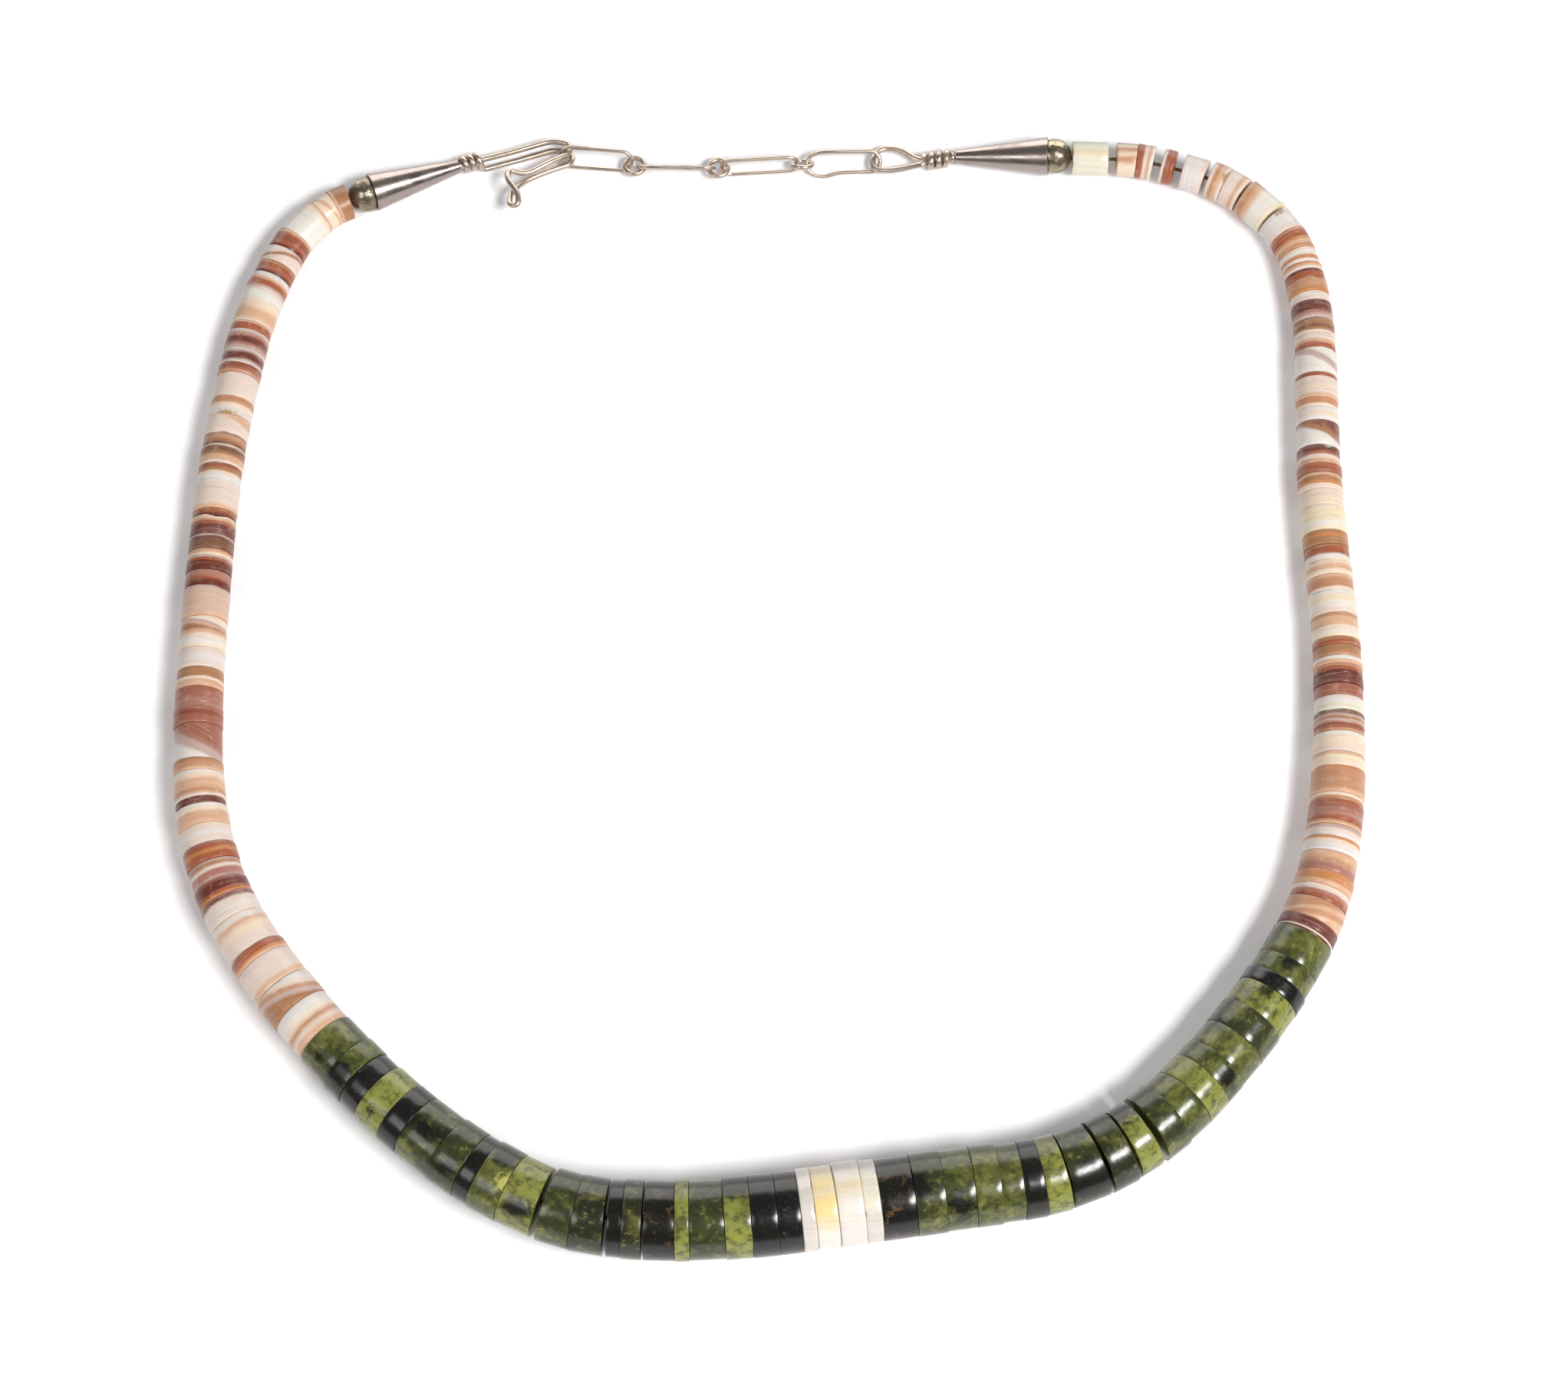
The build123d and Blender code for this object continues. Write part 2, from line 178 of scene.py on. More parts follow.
class Finish:
    """One material under the brush: it makes the nodes and holds the main shader."""

    def __init__(self, name: str, **constants: Any) -> None:
        """Starts a material.

        Args:
            name: The material's name.
            **constants: Values of the shader's own sockets, with _ for a space in a socket's name.
        """
        self.material = bpy.data.materials.new(name)
        self.material.use_nodes = True
        self.tree = self.material.node_tree
        self.tree.nodes.clear()
        sockets = {key.replace("_", " "): value for key, value in constants.items()}
        self.shader = self.node("ShaderNodeBsdfPrincipled", {}, sockets)
        self.node("ShaderNodeOutputMaterial", {}, {"Surface": Value(self, self.shader.outputs[0])})

    def node(self, kind: str, settings: dict[str, Any], inputs: dict[Union[str, int], Any]) -> bpy.types.Node:
        """Adds a node.

        Args:
            kind: The node's type.
            settings: Its settings, set first; stops is a ramp's list of places and colours.
            inputs: Values or links of its sockets, by name or by number.

        Returns:
            The node.
        """
        made = self.tree.nodes.new(kind)
        for key, value in settings.items():
            if key == "stops":
                self._set_stops(made, value)
            else:
                setattr(made, key, value)
        for key, value in inputs.items():
            if isinstance(value, Value):
                self.tree.links.new(value.socket, made.inputs[key])
            else:
                made.inputs[key].default_value = value
        return made

    @staticmethod
    def _set_stops(ramp: bpy.types.Node, stops: Sequence[tuple[float, Colour]]) -> None:
        """Gives a ramp its stops."""
        elements = ramp.color_ramp.elements
        while len(elements) < len(stops):
            elements.new(1.0)
        for element, (place, colour) in zip(elements, stops):
            element.position, element.color = place, colour

    def attribute(self, name: str, output: str = "Fac") -> Value:
        """Reads one of the piece's own attributes."""
        return Value(self, self.node("ShaderNodeAttribute", {"attribute_name": name}, {}).outputs[output])

    def place(self) -> Value:
        """The place on the object, in metres."""
        return Value(self, self.node("ShaderNodeTexCoord", {}, {}).outputs["Object"])

    def scaled(self, direction: Value, scale: tuple[float, float, float]) -> Value:
        """Stretches a direction by a scale along each of its axes."""
        node = self.node("ShaderNodeVectorMath", {"operation": "MULTIPLY"}, {0: direction, 1: scale})
        return Value(self, node.outputs[0])

    def noise(self, place: Value, scale: float, detail: float = 3.0, roughness: float = 0.5,
              distortion: float = 0.0) -> Value:
        """Soft noise between about 0.25 and 0.75.

        Args:
            place: Where it is read.
            scale: How many features there are to one unit of place.
            detail: How many finer layers it has.
            roughness: How strong the finer layers are.
            distortion: How much it is stirred.

        Returns:
            The noise.
        """
        inputs = {"Vector": place, "Scale": scale, "Detail": detail, "Roughness": roughness,
                  "Distortion": distortion}
        return Value(self, self.node("ShaderNodeTexNoise", {}, inputs).outputs[0])

    def eased(self, value: Value, low: Number, high: Number, least: float = 0.0, most: float = 1.0) -> Value:
        """Maps a range softly to another and holds it there.

        Args:
            value: What is mapped.
            low: Where the result is least.
            high: Where the result is most.
            least: The result at low.
            most: The result at high.

        Returns:
            The mapped value.
        """
        inputs = {"Value": value, "From Min": low, "From Max": high, "To Min": least, "To Max": most}
        node = self.node("ShaderNodeMapRange", {"interpolation_type": "SMOOTHSTEP"}, inputs)
        return Value(self, node.outputs[0])

    def blend(self, first: Union[Value, Colour], second: Union[Value, Colour], share: Number,
              way: str = "MIX") -> Value:
        """Blends two colours.

        Args:
            first: The colour where the share is nought.
            second: The colour where the share is one.
            share: How much of the second shows.
            way: How they are blended.

        Returns:
            The blended colour.
        """
        settings = {"data_type": "RGBA", "blend_type": way}
        node = self.node("ShaderNodeMix", settings, {0: share, 6: first, 7: second})
        return Value(self, node.outputs[2])

    def ramp(self, value: Value, stops: Sequence[tuple[float, Colour]]) -> Value:
        """Turns a value into a colour through a row of stops."""
        return Value(self, self.node("ShaderNodeValToRGB", {"stops": stops}, {"Fac": value}).outputs[0])

    def bump(self, height: Value, distance: float, strength: float = 1.0) -> Value:
        """A surface direction that follows a height.

        Args:
            height: The height, 0 to 1.
            distance: How far 1 stands above 0, in metres.
            strength: How strongly it shows.

        Returns:
            The surface direction.
        """
        inputs = {"Height": height, "Distance": distance, "Strength": strength}
        return Value(self, self.node("ShaderNodeBump", {}, inputs).outputs[0])

    def paint(self, **sockets: Value) -> bpy.types.Material:
        """Links what varies to the shader, by socket name with _ for a space, and gives the material."""
        for key, value in sockets.items():
            self.tree.links.new(value.socket, self.shader.inputs[key.replace("_", " ")])
        return self.material


BAND_COUNT = 6
SCRATCH_DEPTH = 0.00004


@dataclass(frozen=True)
class ShellFinish:
    """Polished shell or nacre: each disc's own bands of growth, fine lines, and old glue at a few joints.

    Soft_edge is how far a band's edge runs, wander is how far it strays, and lines is how strongly the fine
    lines show. Line_scale is how many lines there are to a millimetre, through the disc and along its bands.
    """

    name: str
    roughness: float
    coat: float
    lines: float
    wander: float
    soft_edge: float = 0.075
    line_scale: tuple[float, float, float] = (3.2, 0.16, 0.16)
    wear_scale: tuple[float, float, float] = (6.0, 1.2, 1.2)
    groove: Colour = tone(168, 106, 72)
    chalk: Colour = tone(240, 230, 220)
    # painted sheen: the pale tone of the shell's chatoyant sheen, painted in clouds
    painted_sheen: Colour = tone(236, 222, 212)
    glue: Colour = tone(150, 116, 52)

    def made(self) -> bpy.types.Material:
        """Builds the material.

        Returns:
            The finished material.
        """
        f = Finish(self.name, Coat_Weight=self.coat, Coat_Roughness=0.12, Specular_IOR_Level=0.45,
                   Subsurface_Weight=0.12, Subsurface_Scale=0.0012, Subsurface_Radius=(1.0, 0.5, 0.3))
        spot = f.attribute("spot", "Vector")
        lane = f.attribute("lane") + (f.noise(spot, scale=0.30) - 0.5) * self.wander
        colour = f.attribute("tone_0", "Color")
        for band in range(1, BAND_COUNT):
            cut = f.attribute(f"cut_{band}")
            step = f.eased(lane, cut - self.soft_edge, cut + self.soft_edge)
            colour = f.blend(colour, f.attribute(f"tone_{band}", "Color"), step)
        lines = f.noise(f.scaled(spot, self.line_scale), scale=1.0, detail=5.0, roughness=0.62)
        dark_lines = f.eased(lines, 0.50, 0.76) * self.lines
        pale_lines = f.eased(lines, 0.50, 0.28) * (self.lines * 0.6)
        colour = f.blend(colour, self.groove, dark_lines, "MULTIPLY")
        colour = f.blend(colour, self.chalk, pale_lines)
        # Painted sheen: pale clouds lighten the colour where the shell's chatoyant sheen would catch the
        # light.
        cloud = f.noise(spot, scale=0.9, detail=2.0)
        colour = f.blend(colour, self.painted_sheen, f.eased(cloud, 0.55, 0.8) * 0.18)
        stain = f.eased(f.attribute("stain") + (f.noise(spot, scale=1.6) - 0.5), 0.25, 0.65) * 0.8
        colour = f.blend(colour, self.glue, stain)
        wear = f.noise(f.scaled(spot, self.wear_scale), scale=1.0, detail=4.0, roughness=0.6)
        rough = f.eased(wear, 0.3, 0.75, self.roughness * 0.8, self.roughness * 1.5)
        return f.paint(Base_Color=colour, Roughness=rough, Normal=f.bump(lines, SCRATCH_DEPTH, 0.5))


@dataclass(frozen=True)
class StoneFinish:
    """Polished green stone: mottled olive with black blotches, specks, pale frost and ochre veins."""

    name: str = "green_stone_polish"
    roughness: float = 0.22
    pale_olive: Colour = tone(146, 148, 74)
    dark_olive: Colour = tone(34, 38, 20)
    flake: Colour = tone(150, 148, 80)
    shade: Colour = tone(34, 37, 22)
    black: Colour = tone(12, 11, 8)
    speck: Colour = tone(18, 18, 12)
    frost: Colour = tone(104, 108, 112)
    ochre: Colour = tone(98, 74, 42)
    yellow: Colour = tone(176, 170, 92)

    def made(self) -> bpy.types.Material:
        """Builds the material.

        Returns:
            The finished material.
        """
        f = Finish(self.name, Specular_IOR_Level=0.55)
        spot = f.attribute("spot", "Vector")
        base = f.attribute("tone_0", "Color")
        broad = f.noise(spot, scale=0.26, detail=4.0, roughness=0.58, distortion=0.5)
        fine = f.noise(spot, scale=1.0, detail=5.0, roughness=0.62)
        colour = f.blend(base, self.pale_olive, f.eased(broad, 0.50, 0.70) * 0.40)
        colour = f.blend(colour, self.dark_olive, f.eased(broad, 0.50, 0.32) * 0.60)
        colour = f.blend(colour, self.shade, f.eased(fine, 0.52, 0.36) * 0.62)
        colour = f.blend(colour, self.flake, f.eased(fine, 0.55, 0.70) * 0.42)
        wisps = (f.noise(spot, scale=0.40, detail=5.0, roughness=0.60, distortion=0.8) - 0.5) * 1.3
        dark = f.eased(f.attribute("blot") + wisps, -0.10, 0.26)
        colour = f.blend(colour, self.black, dark * 0.97)
        specks = f.eased(f.noise(spot, scale=3.0, detail=2.0), 0.66, 0.76)
        colour = f.blend(colour, self.speck, specks * 0.75)
        crust = f.eased(f.noise(spot, scale=1.5, detail=6.0, roughness=0.75), 0.57, 0.70)
        colour = f.blend(colour, self.frost, crust * f.attribute("frost") * 0.7)
        strand = f.noise(spot, scale=0.34, distortion=0.6) - 0.5
        where = f.eased(f.noise(spot, scale=0.5, detail=2.0), 0.46, 0.60)
        vein = f.eased(strand * strand, 0.0014, 0.0) * where * f.attribute("vein")
        colour = f.blend(colour, self.ochre, vein * 0.6)
        patch = f.eased(f.attribute("patch") + (fine - 0.5) * 1.2, 0.0, 0.25)
        colour = f.blend(colour, self.yellow, patch * 0.9)
        wear = f.noise(spot, scale=2.2, detail=4.0, roughness=0.6)
        rough = f.eased(wear, 0.3, 0.75, self.roughness * 0.85, self.roughness * 1.25)
        pits = f.eased(f.noise(spot, scale=4.0, detail=2.0), 0.30, 0.24)
        return f.paint(Base_Color=colour, Roughness=rough, Normal=f.bump(1.0 - pits, SCRATCH_DEPTH, 0.6))


@dataclass(frozen=True)
class SilverFinish:
    """Hand-worked silver: warm grey with clouds of tarnish, fine scratches and shallow dents."""

    name: str
    bright: Colour
    dull: Colour
    roughness: float
    dull_share: float
    warm: Colour = tone(150, 128, 84)
    warm_share: float = 0.25
    dents: float = 0.0
    cloud_scale: tuple[float, float, float] = (0.45, 1.0, 1.0)
    scratch_scale: tuple[float, float, float] = (300.0, 3200.0, 3200.0)

    def made(self) -> bpy.types.Material:
        """Builds the material.

        Returns:
            The finished material.
        """
        f = Finish(self.name, Metallic=1.0)
        place = f.place()
        cloud = f.noise(f.scaled(place, self.cloud_scale), scale=420.0, detail=4.0, roughness=0.6)
        colour = f.blend(self.bright, self.dull, f.eased(cloud, 0.62 - 0.3 * self.dull_share, 0.78) * 0.8)
        warm = f.eased(f.noise(place, scale=260.0, roughness=0.6, distortion=0.6), 0.56, 0.70)
        colour = f.blend(colour, self.warm, warm * self.warm_share)
        scratch = f.noise(f.scaled(place, self.scratch_scale), scale=1.0, roughness=0.6)
        rough = f.eased(cloud, 0.3, 0.72, self.roughness * 0.8, self.roughness * 1.6)
        height = scratch * 0.4 + f.noise(place, scale=700.0, detail=2.0)
        height = height + f.noise(place, scale=760.0, detail=1.0, roughness=0.4) * self.dents
        return f.paint(Base_Color=colour, Roughness=rough, Normal=f.bump(height, SCRATCH_DEPTH, 0.35))


@dataclass(frozen=True)
class ThreadFinish:
    """Waxed brown thread with a little fuzz of tone."""

    name: str = "thread_brown"

    def made(self) -> bpy.types.Material:
        """Builds the material.

        Returns:
            The finished material.
        """
        f = Finish(self.name, Sheen_Weight=0.3, Specular_IOR_Level=0.25)
        grain = f.noise(f.place(), scale=2600.0, detail=4.0, roughness=0.6)
        stops = [(0.3, tone(96, 70, 46)), (0.5, tone(132, 102, 72)), (0.72, tone(168, 140, 104))]
        colour = f.ramp(grain, stops)
        return f.paint(Base_Color=colour, Roughness=f.eased(grain, 0.3, 0.7, 0.65, 0.9),
                       Normal=f.bump(grain, 0.00005, 0.5))


@dataclass(frozen=True)
class FloorFinish:
    """The pale studio sheet under the necklace."""

    name: str = "studio_sheet"
    colour: Colour = (0.86, 0.86, 0.87, 1.0)
    glow: float = 0.15
    glow_colour: Colour = (1.0, 0.985, 1.0, 1.0)

    def made(self) -> bpy.types.Material:
        """Builds the material."""
        return Finish(self.name, Base_Color=self.colour, Roughness=0.9, Specular_IOR_Level=0.1,
                      Emission_Color=self.glow_colour, Emission_Strength=self.glow).material


def deselect() -> None:
    """Leaves nothing selected, so that an operator acts on nothing by accident."""
    if bpy.context.mode != "OBJECT":
        bpy.ops.object.mode_set(mode="OBJECT")
    bpy.ops.object.select_all(action="DESELECT")


def choose(*pieces: bpy.types.Object) -> None:
    """Selects these pieces alone and makes the first one active."""
    deselect()
    for piece in pieces:
        piece.select_set(True)
    bpy.context.view_layer.objects.active = pieces[0]


def mesh_points(mesh: bpy.types.Mesh) -> np.ndarray:
    """Reads a mesh's points as rows of three."""
    points = np.empty(len(mesh.vertices) * 3)
    mesh.vertices.foreach_get("co", points)
    return points.reshape(-1, 3)


@dataclass(frozen=True)
class Seat:
    """Where one disc of the strand sits: its two mouths, what they face and its half width, in metres."""

    start: np.ndarray
    end: np.ndarray
    start_face: np.ndarray
    end_face: np.ndarray
    radius: float

    @property
    def along(self) -> np.ndarray:
        """The direction from the first mouth to the second."""
        run = self.end - self.start
        return run / np.linalg.norm(run)

    @property
    def inner(self) -> np.ndarray:
        """The level direction to the left of the strand's way, which is the inside of the loop."""
        side = np.cross((0.0, 0.0, 1.0), self.along)
        return side / np.linalg.norm(side)

    @property
    def thickness(self) -> float:
        """The length of the bore."""
        return float(np.linalg.norm(self.end - self.start))

    def longer(self, much: float) -> "Seat":
        """The same seat, this much longer at each mouth."""
        way = self.along * much
        return Seat(self.start - way, self.end + way, self.start_face, self.end_face, self.radius)

    def turned(self) -> "Seat":
        """The same seat, followed the other way."""
        return Seat(self.end, self.start, self.end_face, self.start_face, self.radius)


class Seats:
    """Reads every disc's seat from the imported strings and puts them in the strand's order."""

    SAME_POINT = 1e-6
    FACING_STEPS = 40

    def __init__(self, nodes: Sequence[str], first: Vector) -> None:
        """Reads the seats.

        Args:
            nodes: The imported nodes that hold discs.
            first: The place where the strand starts.
        """
        self.by_node: dict[str, list[Seat]] = {name: [] for name in nodes}
        loose = [(name, seat) for name in nodes for seat in self._read(name)]
        tip = np.array(first)
        while loose:
            near = min(loose, key=lambda row: min(np.linalg.norm(row[1].start - tip),
                                                  np.linalg.norm(row[1].end - tip)))
            loose = [row for row in loose if row[1] is not near[1]]
            name, seat = near
            if np.linalg.norm(seat.end - tip) < np.linalg.norm(seat.start - tip):
                seat = seat.turned()
            self.by_node[name].append(seat)
            tip = seat.end

    @property
    def mouths(self) -> list[np.ndarray]:
        """The middle of every bore's mouth, in the strand's order."""
        strand = [seat for seats in self.by_node.values() for seat in seats]
        return [mouth for seat in strand for mouth in (seat.start, seat.end)]

    @staticmethod
    def _read(node: str) -> list[Seat]:
        """Takes a copy of a string apart and reads each disc."""
        source = frame["nodes"][node]
        spare = bpy.data.objects.new(node + "_spare", source.data.copy())
        bpy.context.scene.collection.objects.link(spare)
        choose(spare)
        bpy.ops.object.mode_set(mode="EDIT")
        bpy.ops.mesh.select_all(action="SELECT")
        bpy.ops.mesh.remove_doubles(threshold=Seats.SAME_POINT)
        bpy.ops.mesh.separate(type="LOOSE")
        bpy.ops.object.mode_set(mode="OBJECT")
        parts = list(bpy.context.selected_objects)
        seats = [Seats._disc(part.data) for part in parts]
        for part in parts:
            bpy.data.meshes.remove(part.data)
        return seats

    @staticmethod
    def _disc(mesh: bpy.types.Mesh) -> Seat:
        """Reads one disc: its two largest flat faces and how far its edge lies from the bore's middle."""
        points = mesh_points(mesh)
        faces: dict[tuple[float, ...], list[tuple[float, np.ndarray, np.ndarray]]] = {}
        for polygon in mesh.polygons:
            normal = np.array(polygon.normal)
            key = tuple(np.round(normal * Seats.FACING_STEPS).astype(int))
            faces.setdefault(key, []).append((polygon.area, np.array(polygon.center), normal))
        flat = sorted(faces.values(), key=lambda rows: -sum(row[0] for row in rows))[:2]
        mouths, directions = [], []
        for rows in flat:
            areas = np.array([row[0] for row in rows])
            mouths.append(np.average([row[1] for row in rows], axis=0, weights=areas))
            direction = np.average([row[2] for row in rows], axis=0, weights=areas)
            directions.append(direction / np.linalg.norm(direction))
        run = (mouths[1] - mouths[0]) / np.linalg.norm(mouths[1] - mouths[0])
        arms = points - mouths[0]
        arms -= np.outer(arms @ run, run)
        radius = float(np.linalg.norm(arms, axis=1).max())
        return Seat(mouths[0], mouths[1], directions[0], directions[1], radius)


@dataclass(frozen=True)
class Chip:
    """A notch knocked out of a disc's rim: at which mouth, how far round in radians, and its size in mm."""

    disc: int
    end: bool
    turn: float
    width_mm: float
    depth_mm: float


@dataclass(frozen=True)
class Stain:
    """A spot of old glue at one mouth of a disc, with its place across the disc in half widths."""

    disc: int
    end: bool
    inner: float
    width: float
    reach: float = 0.5

    def strength(self, share: np.ndarray, inner: np.ndarray) -> np.ndarray:
        """How strongly each point is stained, 0 to 1."""
        across = np.clip(1 - np.abs(inner - self.inner) / self.width, 0, 1)
        return across * np.clip(1 - np.abs(share - float(self.end)) / self.reach, 0, 1)


@dataclass
class DiscPattern:
    """The one disc that every other is copied from, one unit thick with a half width of one unit.

    Widest_rim is the most of a thin disc's thickness that each rounded rim takes. Chip_reach is how far
    through the disc a chip runs, chip_floor how far out it starts, chip_slope how far it sinks into the rim
    for each unit off the face, and chip_round how bluntly it ends.
    """

    sides: int = 56
    bore: float = 0.24
    rim: float = 0.1
    rim_steps: int = 2
    cuts: tuple[float, ...] = (-0.2, 0.0, 0.2)
    smooth_degrees: float = 50.0
    widest_rim: float = 0.42
    chip_reach: float = 0.32
    chip_floor: float = 0.8
    chip_slope: float = 0.6
    chip_round: float = 0.7

    def __post_init__(self) -> None:
        """Models the disc."""
        deselect()
        bpy.ops.mesh.primitive_cylinder_add(vertices=self.sides, radius=1.0, depth=1.0, end_fill_type="NGON")
        disc = bpy.context.object
        bpy.ops.object.mode_set(mode="EDIT")
        for height in self.cuts:
            bpy.ops.mesh.select_all(action="SELECT")
            bpy.ops.mesh.bisect(plane_co=(0, 0, height), plane_no=(0, 0, 1))
        self._select_faces(disc, lambda face: abs(face.normal.z) > 0.9)
        bpy.ops.mesh.inset(thickness=1.0 - self.bore, depth=0.0)
        bpy.ops.mesh.bridge_edge_loops()
        self._select_rims(disc)
        bpy.ops.mesh.bevel(offset=self.rim, segments=self.rim_steps, profile=0.5, affect="EDGES")
        bpy.ops.mesh.select_all(action="SELECT")
        bpy.ops.mesh.normals_make_consistent(inside=False)
        bpy.ops.object.mode_set(mode="OBJECT")
        bpy.ops.object.shade_smooth_by_angle(angle=math.radians(self.smooth_degrees))
        self.mesh = disc.data.copy()
        self.points = mesh_points(self.mesh)
        bpy.data.objects.remove(disc)
        log.info("disc pattern: %d points, %d faces", len(self.mesh.vertices), len(self.mesh.polygons))

    @staticmethod
    def _select_faces(disc: bpy.types.Object, wanted: Callable[[bpy.types.MeshPolygon], bool]) -> None:
        """Selects the faces that are wanted, in edit mode."""
        bpy.ops.mesh.select_all(action="DESELECT")
        bpy.ops.mesh.select_mode(type="FACE")
        bpy.ops.object.mode_set(mode="OBJECT")
        for face in disc.data.polygons:
            face.select = wanted(face)
        bpy.ops.object.mode_set(mode="EDIT")

    @staticmethod
    def _select_rims(disc: bpy.types.Object) -> None:
        """Selects the edges of the two outer rims, in edit mode."""
        bpy.ops.mesh.select_all(action="DESELECT")
        bpy.ops.mesh.select_mode(type="EDGE")
        bpy.ops.object.mode_set(mode="OBJECT")
        points = disc.data.vertices
        for edge in disc.data.edges:
            ends = [points[i].co for i in edge.vertices]
            edge.select = all(math.isclose(abs(p.z), 0.5, abs_tol=0.01) and math.hypot(p.x, p.y) > 0.95
                              for p in ends)
        bpy.ops.object.mode_set(mode="EDIT")

    def seated(self, seat: Seat, bore: float, rim: float, chips: Sequence[Chip], draw: random.Random,
               uneven: float) -> np.ndarray:
        """Shapes a copy of the pattern to a seat.

        Args:
            seat: Where the disc sits.
            bore: The half width of the hole.
            rim: How far the rim is rounded.
            chips: The notches in its rim.
            draw: The random numbers of this string.
            uneven: How far the edge wanders from a true round, as a share of the half width.

        Returns:
            The copy's points.
        """
        x, y, z = self.points.T
        reach = np.hypot(x, y)
        turn = np.arctan2(y, x)
        swings = [draw.uniform(0, 2 * math.pi) for _ in range(3)]
        wobble = sum(np.sin((k + 2) * turn + swing) / (k + 1.5) for k, swing in enumerate(swings)) / 1.4
        full = seat.radius * (1 - uneven * (0.5 - 0.5 * wobble))
        rim = min(rim, self.widest_rim * seat.thickness)
        edge = 1 - self.rim
        radius = np.where(reach > edge, full - rim * (1 - reach) / self.rim,
                          bore + (reach - self.bore) / (edge - self.bore) * (full - rim - bore))
        arms = np.outer(radius * np.cos(turn), seat.inner) + np.outer(radius * np.sin(turn), (0, 0, 1))
        way = seat.along
        low = -(arms @ seat.start_face) / (way @ seat.start_face)
        high = seat.thickness - (arms @ seat.end_face) / (way @ seat.end_face)
        depth = 0.5 - np.abs(z)
        inset = np.where(depth < self.rim, rim * depth / self.rim, 0.0)
        middle = np.clip(np.abs(z) / (0.5 - self.rim), 0, 1) * np.sign(z) * 0.5 + 0.5
        travel = np.where(depth < self.rim, np.where(z < 0, low + inset, high - inset),
                          (low + rim) + middle * (high - low - 2 * rim))
        for chip in chips:
            apart = np.abs((turn - chip.turn + math.pi) % (2 * math.pi) - math.pi) * seat.radius
            near = np.clip(1 - apart / (chip.width_mm * MM), 0, 1) ** self.chip_round
            close = np.where((z > 0) == chip.end, np.clip(1 - depth / self.chip_reach, 0, 1), 0)
            bite = chip.depth_mm * MM * near * close * (reach > self.chip_floor)
            sunk = bite * self.chip_slope
            arms -= np.outer(sunk * np.cos(turn), seat.inner) + np.outer(sunk * np.sin(turn), (0, 0, 1))
            travel += np.where(z > 0, -1, 1) * bite
        return seat.start + arms + np.outer(travel, way)


class Slope(Enum):
    """How a disc's bands lie, by the mark at the end of its chart word."""

    SQUARE = ""
    RISING = "/"
    FALLING = "\\"
    CROSSWISE = "="


LEAN = 0.3
NO_CUT = 2.0


@dataclass(frozen=True)
class ShellWord:
    """One disc's word in a shell chart: a letter for each part of its thickness, and how the bands lie."""

    letters: str
    slope: Slope

    @classmethod
    def read(cls, word: str) -> "ShellWord":
        """Reads a word of the chart."""
        marks = [slope for slope in Slope if slope.value and word.endswith(slope.value)]
        return cls(word.rstrip("/\\="), marks[0] if marks else Slope.SQUARE)

    def bands(self) -> tuple[list[Colour], list[float]]:
        """The tones and the places where they change, filled up to the full count of bands."""
        runs = [(SHELL_TONES[letter], len(list(run))) for letter, run in groupby(self.letters)]
        places = np.cumsum([length for _, length in runs]) / len(self.letters)
        tones = [colour for colour, _ in runs]
        spare = BAND_COUNT - len(tones)
        if spare < 0:
            raise ValueError(f"{self.letters} has more than {BAND_COUNT} bands")
        return tones + [tones[-1]] * spare, list(places[:-1]) + [NO_CUT] * spare

    def lane(self, share: np.ndarray, inner: np.ndarray) -> np.ndarray:
        """How far along the bands each point lies, 0 to 1."""
        if self.slope is Slope.CROSSWISE:
            return 0.5 - 0.5 * inner
        lean = {Slope.SQUARE: 0.0, Slope.RISING: LEAN, Slope.FALLING: -LEAN}[self.slope]
        return share - lean * inner


@dataclass(frozen=True)
class StoneWord:
    """One disc's word in a stone chart: its green, its marks, and how much black lies on it, 0 to 1.

    The marks put the black field on the inside of the loop (i) or the outside (o), at the first mouth (s) or
    the second (e), or in the middle (c), and add pale frost (f), ochre veins (v) or a yellow patch (y).
    """

    ASIDE: ClassVar[float] = 0.62
    ALONG: ClassVar[float] = 0.45
    HALF_WIDTH: ClassVar[float] = 0.8
    HALF_LENGTH: ClassVar[float] = 1.1
    FAR_OUTSIDE: ClassVar[float] = -2.0

    green: str
    marks: str
    black: float

    @classmethod
    def read(cls, word: str) -> "StoneWord":
        """Reads a word of the chart."""
        return cls(word[0], word[1:-1], int(word[-1]) / 9)

    def blot(self, share: np.ndarray, inner: np.ndarray) -> np.ndarray:
        """How deep each point lies in the disc's black field; below nought is outside it."""
        if self.green == "K":
            return np.full(len(share), 0.9 * self.black - 0.2)
        across = self.ASIDE * (("i" in self.marks) - ("o" in self.marks))
        on = 0.5 + self.ALONG * (("e" in self.marks) - ("s" in self.marks))
        if not set(self.marks) & set("ioesc"):
            return np.full(len(share), -0.75 + 0.5 * self.black)
        away = np.hypot((inner - across) / self.HALF_WIDTH, (share - on) / self.HALF_LENGTH)
        return 0.9 * self.black + 0.05 - away

    def patch(self, share: np.ndarray, inner: np.ndarray) -> np.ndarray:
        """How deep each point lies in the disc's pale yellow patch; below nought is outside it."""
        if "y" not in self.marks:
            return np.full(len(share), self.FAR_OUTSIDE)
        return 0.32 - np.hypot(inner + 0.15, share - 0.9)


